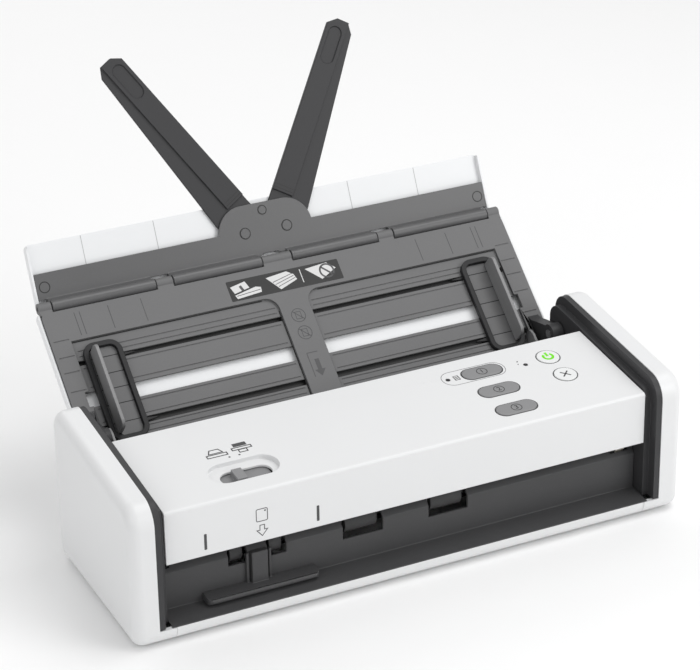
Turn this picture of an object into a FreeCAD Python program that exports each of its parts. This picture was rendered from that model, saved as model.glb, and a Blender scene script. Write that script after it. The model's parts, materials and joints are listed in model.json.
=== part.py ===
import FreeCAD, Part
import math
import os
import re
import Sketcher

# A sheet fed document scanner as it stands on a desk, in millimetres: +Z up, the front faces -Y,
# +X is to the right, and the origin is on the desk under the middle of the base.

Vector = FreeCAD.Vector
doc = FreeCAD.newDocument("document_scanner")

sizes = {
    # base, seen from the side (Y, Z)
    "halfWidth": 150.0, "capInner": 137.4, "lipInner": 134.2, "cheekInner": 131.0, "seam": 128.6,
    "frontY": -52.0, "rearY": 51.5, "baseZ": 1.0, "stripTop": 9.0, "capTopRear": 85.2,
    "capTopFront": 75.7, "shoulder": 12.0, "rearRound": 10.0, "lowRound": 7.0, "edgeRound": 6.0,
    "skin": 2.5, "capWall": 3.0, "lipDrop": 0.4, "ledgeDrop": 6.0, "slack": 0.3,
    # paper exit recess and card rest
    "wallY": -37.5, "floorRear": 10.85, "floorFront": 9.4, "lipZ": 30.4, "chuteZ": 35.0,
    "cardX": -80.0, "cardHalf": 29.5, "smallRollerX": 10.3, "wideRollerX": 23.5,
    # front cover: a frame on the fold line over its front face, Y runs back along its top
    "foldY": -46.5, "foldZ": 68.8, "coverTilt": 5.5, "coverDeep": 65.8, "coverHalf": 130.5,
    "coverLow": 40.6, "pinY": -40.0, "pinZ": 46.0, "pinRadius": 2.0,
    "pillX": 64.4, "pillLong": 22.0, "pillWide": 9.4, "pillU": 14.3, "pillStep": 18.2,
    "roundX": 102.4, "roundRadius": 5.9, "powerU": 49.8, "cancelU": 31.8, "ring": 0.35,
    "keyDeep": 6.3, "keyProud": 0.4, "boardDrop": 9.0,
    "dishX": -81.3, "dishU": 19.4, "dishLong": 36.0, "dishWide": 16.6, "knobX": -84.4,
    # rollers and gears (Y, Z of each axis)
    "pickY": 24.0, "pickZ": 27.0, "pickRadius": 9.5, "driveY": 2.0, "driveZ": 28.2,
    "driveRadius": 8.3, "ejectY": -28.8, "ejectZ": 29.9, "ejectRadius": 6.3, "shaftRadius": 2.5,
    "brakeZ": 43.9, "brakeRadius": 7.0, "nipZ": 41.8, "nipRadius": 5.0, "starZ": 40.9,
    "starRadius": 4.2, "plateRight": 118.0, "plateLeft": -128.0, "gearStart": 121.5,
    "gearWide": 5.0, "toothSize": 1.0,
    # lid: a frame on its hinge axis, Y runs up the tray and Z stands off its face
    "lidY": 39.6, "lidZ": 65.6, "lidTilt": 40.1, "faceH": -14.4, "lidHalf": 132.3,
    "lidSkinHalf": 133.7, "lidTop": 78.3, "lidFoot": -8.0, "lidNeck": 14.5, "neckHalf": 130.3,
    "recessTop": 60.4, "recessDeep": 1.5, "ribHalf": 8.5, "recessHalf": 121.5,
    "slotLow": 9.4, "slotHigh": 12.6, "paneLow": 23.7, "paneHigh": 31.9, "paneHalf": 115.0,
    "slotTwoLow": 46.9, "slotTwoHigh": 49.4, "rackS": 40.4, "rackRadius": 4.0,
    # paper guides, in the lid's frame
    "loopIn": 97.3, "loopOut": 118.0, "loopLow": 1.9, "loopHigh": 56.9, "wire": 2.8, "loopRound": 6.5,
    "finX": 113.0, "finTall": 10.6, "finThick": 1.8, "finAxis": 0.3, "guidePlate": 0.6,
    # flap: a frame on its barrel, Y runs up the flap and Z stands off its face
    "barrelS": 82.0, "barrelH": -16.3, "barrelRadius": 3.3, "flapTilt": 64.2, "stripH": -4.5,
    "stripEdge": 17.6, "flapEnd": 33.0, "flapHalf": 130.6, "rodRadius": 1.2,
    "armX": 12.0, "armV": 16.2, "armLong": 115.0, "armTurn": 58.2, "bracketRadius": 14.7,
}

sheet = doc.addObject("Spreadsheet::Sheet", "dim")
for row, (word, value) in enumerate(sizes.items(), start=1):
    sheet.set(f"A{row}", word)
    sheet.set(f"B{row}", str(value))
    sheet.setAlias(f"B{row}", word)
doc.recompute()

words = re.compile(r"\b(" + "|".join(sizes) + r")\b")
nodes = []


def bound(text):
    """The text with each word of the sheet written as the expression engine reads it."""
    return words.sub(r"dim.\1", str(text))


def size(word):
    return float(sheet.get(word))


# ---------------------------------------------------------------- frames that parts are drawn in
lidFrame = "placement(vector(0; lidY; lidZ); rotation(vector(1; 0; 0); lidTilt))"
coverFrame = "placement(vector(0; foldY; foldZ); rotation(vector(1; 0; 0); coverTilt))"
flapFrame = (lidFrame + " * placement(vector(0; barrelS; barrelH);"
             " rotation(vector(1; 0; 0); flapTilt - lidTilt))")
armFrames = {
    side: flapFrame + f" * placement(vector({side} * armX; armV; 0);"
    f" rotation(vector(0; 0; 1); {side} * armTurn))" for side in (-1, 1)
}


def node(part, label, frame=None):
    """Gives a finished sub-part its name, and its place when it is drawn in a frame."""
    if frame and part.TypeId in ("Part::Box", "Part::Cylinder"):
        part = group(part)
    part.Label = label
    if frame:
        part.setExpression("Placement", bound(frame))
    nodes.append(part)
    return part


# ---------------------------------------------------------------- ways of making a shape
def block(x, y, z):
    """A box from low and high expressions on each axis."""
    part = doc.addObject("Part::Box", "block")
    for length, axis, (low, high) in (("Length", "x", x), ("Width", "y", y), ("Height", "z", z)):
        part.setExpression(length, bound(f"({high}) - ({low})"))
        part.setExpression("Placement.Base." + axis, bound(low))
    return part


def rod(radius, x, at):
    """A round bar along X, from x[0] to x[1], with its axis at (Y, Z)."""
    part = doc.addObject("Part::Cylinder", "rod")
    part.Placement.Rotation = FreeCAD.Rotation(Vector(0, 1, 0), 90)
    part.setExpression("Radius", bound(radius))
    part.setExpression("Height", bound(f"({x[1]}) - ({x[0]})"))
    for axis, text in zip("xyz", (x[0], *at)):
        part.setExpression("Placement.Base." + axis, bound(text))
    return part


def peg(radius, at, z):
    """A round bar along Z, from z[0] to z[1], with its axis at (X, Y)."""
    part = doc.addObject("Part::Cylinder", "peg")
    part.setExpression("Radius", bound(radius))
    part.setExpression("Height", bound(f"({z[1]}) - ({z[0]})"))
    for axis, text in zip("xyz", (*at, z[0])):
        part.setExpression("Placement.Base." + axis, bound(text))
    return part


def fuse(*parts):
    part = doc.addObject("Part::MultiFuse", "fuse")
    part.Shapes = list(parts)
    return part


def group(*parts):
    """Separate solids that share a node."""
    part = doc.addObject("Part::Compound", "group")
    part.Links = list(parts)
    return part


def cut(base, *tools):
    part = doc.addObject("Part::Cut", "cut")
    part.Base = base
    part.Tool = tools[0] if len(tools) == 1 else fuse(*tools)
    return part


def mirrored(source):
    part = doc.addObject("Part::Mirroring", "mirrored")
    part.Source = source
    part.Normal = (1, 0, 0)
    return part


def plane(body, role):
    return next(f for f in body.Origin.OriginFeatures if f.Role == role)


def outline(body, role, offset, points):
    """A closed sketch of straight sides, each corner held at a pair of expressions."""
    sketch = body.newObject("Sketcher::SketchObject", "outline")
    sketch.AttachmentSupport = [(plane(body, role), "")]
    sketch.MapMode = "FlatFace"
    sketch.setExpression("AttachmentOffset.Base.z", bound(offset))
    places = [tuple(float(body.evalExpression(bound(f"({t}) * 1"))) for t in p) for p in points]
    corners = [Vector(x, y, 0) for x, y in places]
    for here, there in zip(corners, corners[1:] + corners[:1]):
        sketch.addGeometry(Part.LineSegment(here, there))
    count = len(corners)
    for i in range(count):
        sketch.addConstraint(Sketcher.Constraint("Coincident", i, 2, (i + 1) % count, 1))
    for i, point in enumerate(points):
        for kind, text, now in zip(("DistanceX", "DistanceY"), point, places[i]):
            held = sketch.addConstraint(Sketcher.Constraint(kind, -1, 1, i, 1, now))
            sketch.setExpression(f"Constraints[{held}]", bound(text))
    return sketch


def profile(points, x, body=None):
    """A solid with the given side outline in (Y, Z), from x[0] to x[1] along X."""
    body = body or doc.addObject("PartDesign::Body", "profile")
    pad = body.newObject("PartDesign::Pad", "pad")
    pad.Profile = outline(body, "YZ_Plane", x[0], points)
    pad.setExpression("Length", bound(f"({x[1]}) - ({x[0]})"))
    body.Tip = pad
    return body


def slab(points, z, body=None):
    """A solid with the given plan outline in (X, Y), from z[0] to z[1] along Z."""
    body = body or doc.addObject("PartDesign::Body", "slab")
    pad = body.newObject("PartDesign::Pad", "pad")
    pad.Profile = outline(body, "XY_Plane", z[0], points)
    pad.setExpression("Length", bound(f"({z[1]}) - ({z[0]})"))
    body.Tip = pad
    return body


def hollow(body, role, start, depth, points):
    """Takes an outline out of a body, towards the plane's positive side, and tests that it cut."""
    doc.recompute()
    before = body.Shape.Volume
    pocket = body.newObject("PartDesign::Pocket", "pocket")
    pocket.Profile = outline(body, role, start, points)
    pocket.Reversed = True
    pocket.setExpression("Length", bound(depth))
    body.Tip = pocket
    doc.recompute()
    if body.Shape.Volume >= before - 1:
        raise RuntimeError("a pocket cut nothing")
    return body


def soften(body, radius, chosen):
    """Rounds the edges for which chosen(middle, direction) is true."""
    doc.recompute()
    names = []
    for i, edge in enumerate(body.Shape.Edges, start=1):
        middle = edge.valueAt((edge.FirstParameter + edge.LastParameter) / 2)
        if chosen(middle, edge):
            names.append(f"Edge{i}")
    if not names:
        raise RuntimeError("no edge to round")
    before = body.Tip
    feature = body.newObject("PartDesign::Fillet", "fillet")
    feature.Base = (before, names)
    feature.setExpression("Radius", bound(radius))
    body.Tip = feature
    doc.recompute()
    return body


def runs(edge, axis):
    """Whether a straight edge runs along an axis."""
    if not isinstance(edge.Curve, Part.Line):
        return False
    return abs(getattr(edge.Curve.Direction, axis)) > 0.999


def near(a, b, within=0.3):
    return abs(a - b) < within


def capsule(length, width, at, z):
    """A plate with round ends along X, centred at (X, Y)."""
    half = f"({length}) / 2 - ({width}) / 2"
    x, y = at
    bar = block((f"{x} - ({half})", f"{x} + {half}"), (f"{y} - ({width}) / 2", f"{y} + ({width}) / 2"), z)
    ends = [peg(f"({width}) / 2", (f"{x} {sign} ({half})", y), z) for sign in "-+"]
    return fuse(bar, *ends)


# ---------------------------------------------------------------- base: caps, cheeks, covers
def capLine(y, drop=0):
    """The height of the caps' sloping top over Y, less a drop."""
    slope = "(capTopRear - capTopFront) / (rearY - frontY)"
    return f"capTopFront + (({y}) - frontY) * {slope} - ({drop})"


def lowProfile():
    """The thin tray that closes the bottom, seen from the side."""
    inner = "skin"
    return [("frontY", "stripTop"), ("frontY", "baseZ"), ("rearY", "baseZ"), ("rearY", "stripTop"),
            (f"rearY - {inner}", "stripTop"), (f"rearY - {inner}", "baseZ + 6"),
            (f"rearY - {inner} - 3", f"baseZ + {inner}"), (f"frontY + {inner} + 3", f"baseZ + {inner}"),
            (f"frontY + {inner}", "baseZ + 6"), (f"frontY + {inner}", "stripTop")]


def lowEdges(middle, edge):
    return runs(edge, "x") and near(middle.z, size("baseZ")) and abs(middle.y) > 51


def sideCover():
    """The right end cap: a hollow shell, open inwards, with a toe that meets the bottom cover."""
    body = profile([("frontY", "baseZ"), ("rearY", "baseZ"), ("rearY", "capTopRear"),
                    ("frontY", "capTopFront")], ("capInner", "halfWidth"))
    inset = "capWall"
    hollow(body, "YZ_Plane", "capInner", "halfWidth - capInner - capWall",
           [(f"frontY + {inset}", f"baseZ + {inset}"), (f"rearY - {inset}", f"baseZ + {inset}"),
            (f"rearY - {inset}", f"capTopRear - {inset}"), (f"frontY + {inset}", f"capTopFront - {inset}")])
    rounds = (("shoulder", 1, -1), ("rearRound", 1, 1), ("lowRound", -1, -1), ("lowRound", -1, 1))
    for word, up, back in rounds:
        def outer(middle, edge, up=up, back=back):
            return (runs(edge, "x") and (middle.z - 40) * up > 0 and middle.y * back > 51)
        soften(body, word, outer)

        def inner(middle, edge, up=up, back=back):
            return (runs(edge, "x") and (middle.z - 40) * up > 0 and 51 > middle.y * back > 40
                    and 139 < middle.x < 146)
        soften(body, f"{word} - capWall", inner)
    soften(body, "edgeRound", lambda middle, edge: near(middle.x, size("halfWidth"), 0.01))
    toe = profile(lowProfile(), ("seam + 0.15", "capInner + 0.01"))
    soften(toe, "lowRound", lowEdges)
    return fuse(body, toe)


right = sideCover()
node(right, "right_side_cover")
node(mirrored(right), "left_side_cover")


def cheek():
    """The right dark frame: a lip just inside the cap, and a lower ledge that the lid lies over."""
    lip = profile([("frontY + lipDrop", "stripTop + slack"), ("rearY - lipDrop", "stripTop + slack"),
                   ("rearY - lipDrop", capLine("rearY", "lipDrop")),
                   ("frontY + lipDrop", capLine("frontY", "lipDrop"))], ("lipInner", "capInner"))
    soften(lip, "shoulder - lipDrop", lambda m, e: runs(e, "x") and m.z > 60 and m.y < -51)
    soften(lip, "rearRound - lipDrop", lambda m, e: runs(e, "x") and m.z > 60 and m.y > 50.5)
    ledge = profile([("frontY + ledgeDrop", "stripTop + slack"), ("rearY - lipDrop", "stripTop + slack"),
                     ("rearY - lipDrop", capLine("rearY", "ledgeDrop")),
                     ("frontY + ledgeDrop", capLine("frontY + ledgeDrop", "ledgeDrop"))],
                    ("cheekInner", "lipInner + 0.01"))
    soften(ledge, "shoulder - ledgeDrop", lambda m, e: runs(e, "x") and m.z > 60 and m.y < -40)
    soften(ledge, "rearRound - 2", lambda m, e: runs(e, "x") and m.z > 60 and m.y > 50.5)
    holes = [rod("pinRadius", ("cheekInner - 1", "lipInner"), ("pinY", "pinZ")),
             rod("shaftRadius", ("cheekInner - 1", "lipInner"), ("lidY", "lidZ"))]
    return cut(fuse(lip, ledge), *holes)


rightCheek = cheek()
node(rightCheek, "right_frame")
node(mirrored(rightCheek), "left_frame")

bottom = profile(lowProfile(), ("-seam", "seam"))
soften(bottom, "lowRound", lowEdges)
posts = [cut(peg("3.2", (x, y), ("baseZ + skin - 0.01", "11.4")), peg("1", (x, y), ("6", "12")))
         for x in ("-106", "56") for y in ("20", "44")]
node(fuse(bottom, *posts), "bottom_cover")

feet = group(*[peg("6", (x, y), ("0", "baseZ"))
               for x in ("-112", "112") for y in ("-38", "38")])
node(feet, "rubber_feet")

rearWall = block(("slack - cheekInner", "cheekInner - slack"), ("rearY - skin", "rearY"),
                 ("stripTop + slack", "45.5"))
dataHole = block(("-103.5", "-90.5"), ("rearY - 4", "rearY + 1"), ("12.7", "18.9"))
powerHole = doc.addObject("Part::Cylinder", "powerHole")
powerHole.Radius, powerHole.Height = 3.4, 6
powerHole.Placement = FreeCAD.Placement(Vector(-74, 47, 16.2), FreeCAD.Rotation(Vector(1, 0, 0), -90))
lockHole = block(("104", "111"), ("rearY - 4", "rearY + 1"), ("16", "19"))
node(cut(rearWall, dataHole, powerHole, lockHole), "rear_cover")

# ---------------------------------------------------------------- paper exit recess
recess = profile([("frontY + lipDrop", "floorFront"), ("wallY", "floorRear"), ("wallY", "lipZ"),
                  ("wallY + 4", "chuteZ - 0.3"), ("-24.4", "chuteZ"), ("-24.4", "chuteZ - 1.5"),
                  ("wallY + 4.6", "chuteZ - 1.9"), ("wallY + 1.8", "lipZ - 0.6"),
                  ("wallY + 1.8", "stripTop + 0.05"), ("frontY + lipDrop", "stripTop + 0.05")],
                 ("slack - cheekInner", "cheekInner - slack"))


def rollerWindow(x, half, low):
    return block((f"{x} - {half}", f"{x} + {half}"), ("wallY - 1", "-23"), (low, "40"))


windows = [rollerWindow(f"{side}wideRollerX", "10.9", "23.8") for side in ("", "-")]
windows += [rollerWindow(f"cardX {sign} smallRollerX", "5", "25.4") for sign in "+-"]
gearRoom = block(("plateRight - 0.4", "128"), ("wallY + 1.85", "-23"), ("24", "40"))
plateRoom = block(("plateLeft - 0.4", "plateLeft + 2.9"), ("wallY + 1.85", "-23"), ("24", "40"))
node(cut(recess, *windows, gearRoom, plateRoom), "exit_recess")

rest = profile([("wallY", "11.3"), ("wallY - 7", "11.3"), ("wallY - 8.5", "12.4"),
                ("wallY - 8.5", "13.6"), ("wallY - 7.6", "14.5"), ("wallY", "15")],
               ("cardX - cardHalf", "cardX + cardHalf"))
soften(rest, "3.5", lambda m, e: runs(e, "z") and m.y < -45)
stem = [block(("cardX - 4.2", "cardX + 4.2"), ("wallY - 3", "wallY"), ("14", "31.5")),
        block(("cardX - 6.6", "cardX - 5.2"), ("wallY - 1.6", "wallY"), ("14.6", "31")),
        block(("cardX + 5.2", "cardX + 6.6"), ("wallY - 1.6", "wallY"), ("14.6", "31"))]
node(fuse(rest, *stem), "card_rest")

# ---------------------------------------------------------------- paper path and its shafts
chute = profile([("-23.2", "chuteZ"), ("21", "chuteZ"), ("28", "37"), ("41.6", "47.9"),
                 ("42.8", "46.4"), ("29", "35.2"), ("21.6", "33"), ("-23.2", "33")],
                ("plateLeft", "plateRight + 2.5"))
plates = [profile([("-35", "8"), ("42", "8"), ("41.4", "45"), ("29", "35.4"), ("21", "34"), ("-24", "34"),
                   ("-24", "32.6"), ("-35", "32.6")], (start, f"{start} + 2.5")) for start in ("plateLeft", "plateRight")]
bores = [rod("shaftRadius + 1.6", ("plateLeft - 1", "plateRight + 4"), at)
         for at in (("pickY", "pickZ"), ("driveY", "driveZ"), ("ejectY", "ejectZ"))]
openings = [block(("-27", "27"), ("pickY - 11", "pickY + 11"), ("20", "60")),
            block(("-111", "111"), ("-21.5", "-8.5"), ("30", "40"))]
openings += [block((f"{x} - 11.5", f"{x} + 11.5"), ("driveY - 9.5", "driveY + 9.5"), ("20", "40"))
             for x in ("-75", "-35", "35", "75")]

feedBushes = group(*[cut(rod("shaftRadius + 1.6", (start, f"{start} + 2.5"), at),
                         rod("shaftRadius + 0.05", (f"{start} - 1", f"{start} + 4"), at))
                     for start in ("plateLeft", "plateRight")
                     for at in (("pickY", "pickZ"), ("driveY", "driveZ"), ("ejectY", "ejectZ"))])
node(feedBushes, "shaft_bushes")


def scanUnit(z, glass):
    """A contact image sensor bar and the glass strip that faces the paper."""
    bar = block(("-109", "109"), ("-21", "-9"), z)
    strip = block(("-109", "109"), ("-20", "-10"), glass)
    return bar, strip


rearBar, rearGlass = scanUnit(("20", "33.4"), ("33.4", "34.8"))
node(rearBar, "rear_image_sensor")
node(rearGlass, "rear_scan_glass")


def ridge(radius, x, at, half):
    """A rubber sleeve on a shaft."""
    return cut(rod(radius, (f"{x} - {half}", f"{x} + {half}"), at),
               rod("shaftRadius", (f"{x} - {half} - 1", f"{x} + {half} + 1"), at))


pickAt, driveAt, ejectAt = ("pickY", "pickZ"), ("driveY", "driveZ"), ("ejectY", "ejectZ")
shaftEnds = ("plateLeft - 0.8", "gearStart + gearWide + 1.5")
for label, at, radius, sleeves in (
        ("pick", pickAt, "pickRadius", (("-12.5", "9"), ("12.5", "9"))),
        ("drive", driveAt, "driveRadius", (("-75", "10"), ("-35", "10"), ("35", "10"), ("75", "10"))),
        ("eject", ejectAt, "ejectRadius", (("-wideRollerX", "8.6"), ("wideRollerX", "8.6"),
                                           ("cardX - smallRollerX", "3.2"), ("cardX + smallRollerX", "3.2")))):
    node(rod("shaftRadius", shaftEnds, at), f"{label}_shaft")
    node(group(*[ridge(radius, x, at, half) for x, half in sleeves]), f"{label}_rollers")


# ---------------------------------------------------------------- gears
def between(first, second, fromFirst, fromSecond):
    """The lower of the two points at given distances from two axes, as (Y, Z)."""
    apart = math.dist(first, second)
    share = (fromFirst ** 2 - fromSecond ** 2 + apart ** 2) / (2 * apart)
    drop = math.sqrt(fromFirst ** 2 - share ** 2)
    along = ((second[0] - first[0]) / apart, (second[1] - first[1]) / apart)
    down = (-along[1], along[0]) if along[0] < 0 else (along[1], -along[0])
    return first[0] + along[0] * share + down[0] * drop, first[1] + along[1] * share + down[1] * drop
def teethFace(teeth, phase, addendum=0.7, dedendum=1.05):
    """A spur gear's outline in (Y, Z) about the origin, with a tooth at angle phase."""
    unit = size("toothSize")
    pitch = teeth * unit / 2
    points = []
    for i in range(teeth):
        for radius, share in ((pitch - dedendum * unit, -0.31), (pitch + addendum * unit, -0.12),
                              (pitch + addendum * unit, 0.12), (pitch - dedendum * unit, 0.31)):
            angle = phase + 2 * math.pi * (i + share) / teeth
            points.append(Vector(0, radius * math.cos(angle), radius * math.sin(angle)))
    return Part.Face(Part.makePolygon(points + points[:1]))


def gear(label, teeth, at, phase, bore, start=None, wide=None):
    """A spur gear on an axis along X."""
    start = size("gearStart") if start is None else start
    wide = size("gearWide") if wide is None else wide
    solid = teethFace(teeth, phase).extrude(Vector(wide, 0, 0))
    hole = Part.makeCylinder(bore, wide + 2, Vector(-1, 0, 0), Vector(1, 0, 0))
    part = doc.addObject("Part::Feature", label)
    part.Shape = solid.cut(hole)
    part.Placement = FreeCAD.Placement(Vector(start, *at), FreeCAD.Rotation())
    return part


def meshed(teeth, at, driver, driverTeeth, driverPhase):
    """The phase that puts a gap of this gear where the driver's tooth points at it."""
    toward = math.atan2(at[1] - driver[1], at[0] - driver[0])
    turn = (toward - driverPhase) * driverTeeth / teeth
    return toward + math.pi + turn + math.pi / teeth


pickAxis, driveAxis, ejectAxis = [(size(y), size(z)) for y, z in (pickAt, driveAt, ejectAt)]
wheels = {"pick": 16, "drive": 16, "eject": 11, "pinion": 10, "rear": 14, "front": 20}
rearIdler = between(pickAxis, driveAxis, *[(wheels[name] + wheels["rear"]) / 2 * size("toothSize")
                                           for name in ("pick", "drive")])
frontIdler = between(driveAxis, ejectAxis, *[(wheels[name] + wheels["front"]) / 2 * size("toothSize")
                                             for name in ("drive", "eject")])
motorAxis = (pickAxis[0] + (wheels["pick"] + wheels["pinion"]) / 2, pickAxis[1])

bore = size("shaftRadius")
pickPhase = 0.0
rearPhase = meshed(wheels["rear"], rearIdler, pickAxis, wheels["pick"], pickPhase)
drivePhase = meshed(wheels["drive"], driveAxis, rearIdler, wheels["rear"], rearPhase)
frontPhase = meshed(wheels["front"], frontIdler, driveAxis, wheels["drive"], drivePhase)
ejectPhase = meshed(wheels["eject"], ejectAxis, frontIdler, wheels["front"], frontPhase)
motorPhase = meshed(wheels["pinion"], motorAxis, pickAxis, wheels["pick"], pickPhase)
node(gear("pick_wheel", wheels["pick"], pickAxis, pickPhase, bore), "pick_gear")
node(gear("drive_wheel", wheels["drive"], driveAxis, drivePhase, bore), "drive_gear")
node(gear("eject_wheel", wheels["eject"], ejectAxis, ejectPhase, bore), "eject_gear")
node(gear("rear_wheel", wheels["rear"], rearIdler, rearPhase, 1.55), "rear_idler_gear")
node(gear("front_wheel", wheels["front"], frontIdler, frontPhase, 1.55), "front_idler_gear")
pinionWheel = gear("pinion_wheel", wheels["pinion"], motorAxis, motorPhase, 1.2)
studs = [rod("1.5", ("plateRight + 2.4", "gearStart + gearWide + 1"), (repr(y), repr(z)))
         for y, z in (rearIdler, frontIdler)]
shaftHole = rod("3.2", ("plateRight - 1", "plateRight + 4"), (repr(motorAxis[0]), repr(motorAxis[1])))
node(fuse(cut(fuse(chute, *plates), *bores, *openings, shaftHole), *studs), "feed_chassis")

motorAt = (repr(motorAxis[0]), repr(motorAxis[1]))
can = fuse(rod("10.2", ("94", "plateRight - 0.1"), motorAt), rod("3", ("92.5", "95"), motorAt))
node(cut(can, rod("1.4", ("90", "plateRight + 1"), motorAt)), "feed_motor")
node(fuse(rod("1.25", ("91.5", "gearStart + gearWide"), motorAt), pinionWheel), "motor_pinion")

# ---------------------------------------------------------------- electronics in the base
node(cut(block(("-112", "62"), ("16", "47"), ("11.4", "13")), *[
    peg("1.6", (x, y), ("11", "14")) for x in ("-106", "56") for y in ("20", "44")]), "main_board")
node(group(*[fuse(peg("1", (x, y), ("6", "13")), peg("2.6", (x, y), ("13", "14.4")))
             for x in ("-106", "56") for y in ("20", "44")]), "board_screws")
dataSocket = cut(block(("-103.2", "-90.8"), ("40", "rearY - 0.4"), ("13", "18.6")),
                 block(("-102.2", "-91.8"), ("44", "rearY + 1"), ("14.2", "17.6")))
socketBody = block(("-78.5", "-69.5"), ("38", "rearY - skin - 0.2"), ("13", "20.4"))
socketHole = doc.addObject("Part::Cylinder", "socketHole")
socketHole.Radius, socketHole.Height = 2.75, 9
socketHole.Placement = FreeCAD.Placement(Vector(-74, 41, 16.2), FreeCAD.Rotation(Vector(1, 0, 0), -90))
node(group(dataSocket, cut(socketBody, socketHole)), "rear_sockets")

# ---------------------------------------------------------------- hinge pins in the cheeks
lidPins = [rod("shaftRadius", ends, ("lidY", "lidZ"))
           for ends in (("123.5", "lipInner"), ("-lipInner", "-123.5"))]
coverPins = [rod("pinRadius", ends, ("pinY", "pinZ"))
             for ends in (("127.8", "lipInner"), ("-lipInner", "-127.8"))]
node(group(*lidPins, *coverPins), "hinge_pins")

# ---------------------------------------------------------------- front cover, in its own frame
faceSlant = "tan(coverTilt)"
deep = "(foldZ - coverLow) * cos(coverTilt)"
hood = profile([(f"-({deep}) * {faceSlant}", f"-({deep})"), ("0", "0"), ("coverDeep", "0"),
                ("coverDeep + 1.6", "-23"), ("28", "-31.2")], ("-coverHalf", "coverHalf"))
hollow(hood, "YZ_Plane", "skin - coverHalf", "2 * (coverHalf - skin)",
       [(f"skin - ({deep} + 8) * {faceSlant}", f"-({deep} + 8)"), ("skin - 0.2", "-skin"),
        ("coverDeep - skin", "-skin"), ("coverDeep - skin + 1.6", "-40")])
soften(hood, "1.6", lambda m, e: runs(e, "x") and near(m.y, 0) and near(m.z, 0))
pinLocalY = "(pinY - foldY) * cos(coverTilt) + (pinZ - foldZ) * sin(coverTilt)"
pinLocalZ = "(pinZ - foldZ) * cos(coverTilt) - (pinY - foldY) * sin(coverTilt)"
keyholes = [capsule("pillLong + 2 * ring", "pillWide + 2 * ring", ("pillX", f"pillU + {i} * pillStep"), ("-4", "1"))
            for i in range(3)]
keyholes += [peg("roundRadius + ring", ("roundX", word), ("-4", "1")) for word in ("powerU", "cancelU")]
keyholes += [peg("1.15", (x, u), ("-4", "1")) for x, u in (("45", "50.6"), ("88.3", "48"))]
keyholes.append(capsule("dishLong", "dishWide", ("dishX", "dishU"), ("-4", "1")))
keyholes.append(rod("pinRadius + 0.08", ("-140", "140"), (pinLocalY, pinLocalZ)))
dishHole = capsule("26.5", "10.6", ("dishX + 0.6", "dishU - 1.8"), ("-7", "0"))
dish = block(("dishX - 20", "dishX + 20"), ("dishU - 10.2", "dishU + 10.2"), ("-skin - 1.4", "-skin + 0.01"))
node(fuse(cut(hood, *keyholes), cut(dish, dishHole)), "front_cover", coverFrame)
selector = fuse(
    block(("knobX - 13.2", "knobX + 16.6"), ("dishU - 7.8", "dishU + 4.2"), ("-skin - 3", "-skin - 1.7")),
    block(("knobX - 2.6", "knobX + 2.6"), ("dishU - 6.2", "dishU + 2.6"), ("-skin - 1.8", "-0.7")))
node(selector, "exit_selector", coverFrame)

for i, label in enumerate(("third", "second", "first")):
    key = capsule("pillLong", "pillWide", ("pillX", f"pillU + {i} * pillStep"), ("-keyDeep", "keyProud"))
    node(key, f"{label}_scan_button", coverFrame)
for label, word in (("power", "powerU"), ("cancel", "cancelU")):
    node(peg("roundRadius", ("roundX", word), ("-keyDeep", "keyProud")), f"{label}_button", coverFrame)
switchSpots = [("pillX", f"pillU + {i} * pillStep") for i in range(3)]
switchSpots += [("roundX", "powerU"), ("roundX", "cancelU")]
keyBoard = block(("40", "111"), ("6", "58"), ("-boardDrop - 1.6", "-boardDrop"))
switches = [block((f"{x} - 3", f"{x} + 3"), (f"{u} - 3", f"{u} + 3"), ("-boardDrop", "-keyDeep - 1.1"))
            for x, u in switchSpots]
node(group(keyBoard, *switches), "button_board", coverFrame)
node(group(*[peg("1.1", (x, u), ("-boardDrop", "0.05"))
             for x, u in (("45", "50.6"), ("88.3", "48"))]), "light_pipes", coverFrame)

innerFrame = profile([("-43.4", "42.6"), ("-38.6", "37"), ("16", "37"), ("27", "46.3"), ("27", "49.4"),
                      ("25", "49.4"), ("25", "47.4"), ("15.2", "39.2"), ("-37.6", "39.2"), ("-41.8", "44")],
                     ("-127.6", "127.6"))
coverOpenings = [block(("-24", "24"), ("pickY - 9", "31"), ("36", "60")),
                 block(("-110", "110"), ("-21.3", "-8.7"), ("30", "60")),
                 block(("cardX - 34", "cardX + 34"), ("-37", "-23.8"), ("30", "60"))]
coverOpenings += [block((f"{x} - 8", f"{x} + 8"), ("driveY - 6", "driveY + 6"), ("30", "60"))
                  for x in ("-75", "-35", "35", "75")]
coverOpenings += [block((f"{x} - 5", f"{x} + 5"), ("ejectY - 5.2", "ejectY + 5.2"), ("30", "60"))
                  for x in ("-wideRollerX", "wideRollerX")]
coverOpenings.append(block(("120.9", "128"), ("-34", "36"), ("30", "60")))
node(cut(innerFrame, *coverOpenings), "cover_inner_frame")
frontBar, frontGlass = scanUnit(("38.4", "52"), ("37.1", "38.4"))
node(frontBar, "front_image_sensor")
node(frontGlass, "front_scan_glass")


def idlerPair(label, radius, at, spots, half, pin):
    """Small free rollers over the driven ones, each on its own short pin."""
    wheelsHere = [cut(rod(radius, (f"{x} - {half}", f"{x} + {half}"), at),
                      rod(f"{pin} + 0.05", (f"{x} - {half} - 1", f"{x} + {half} + 1"), at)) for x in spots]
    node(group(*wheelsHere), f"{label}_rollers")
    return [rod(pin, (f"{x} - {half} - 4", f"{x} + {half} + 4"), at) for x in spots]


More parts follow.
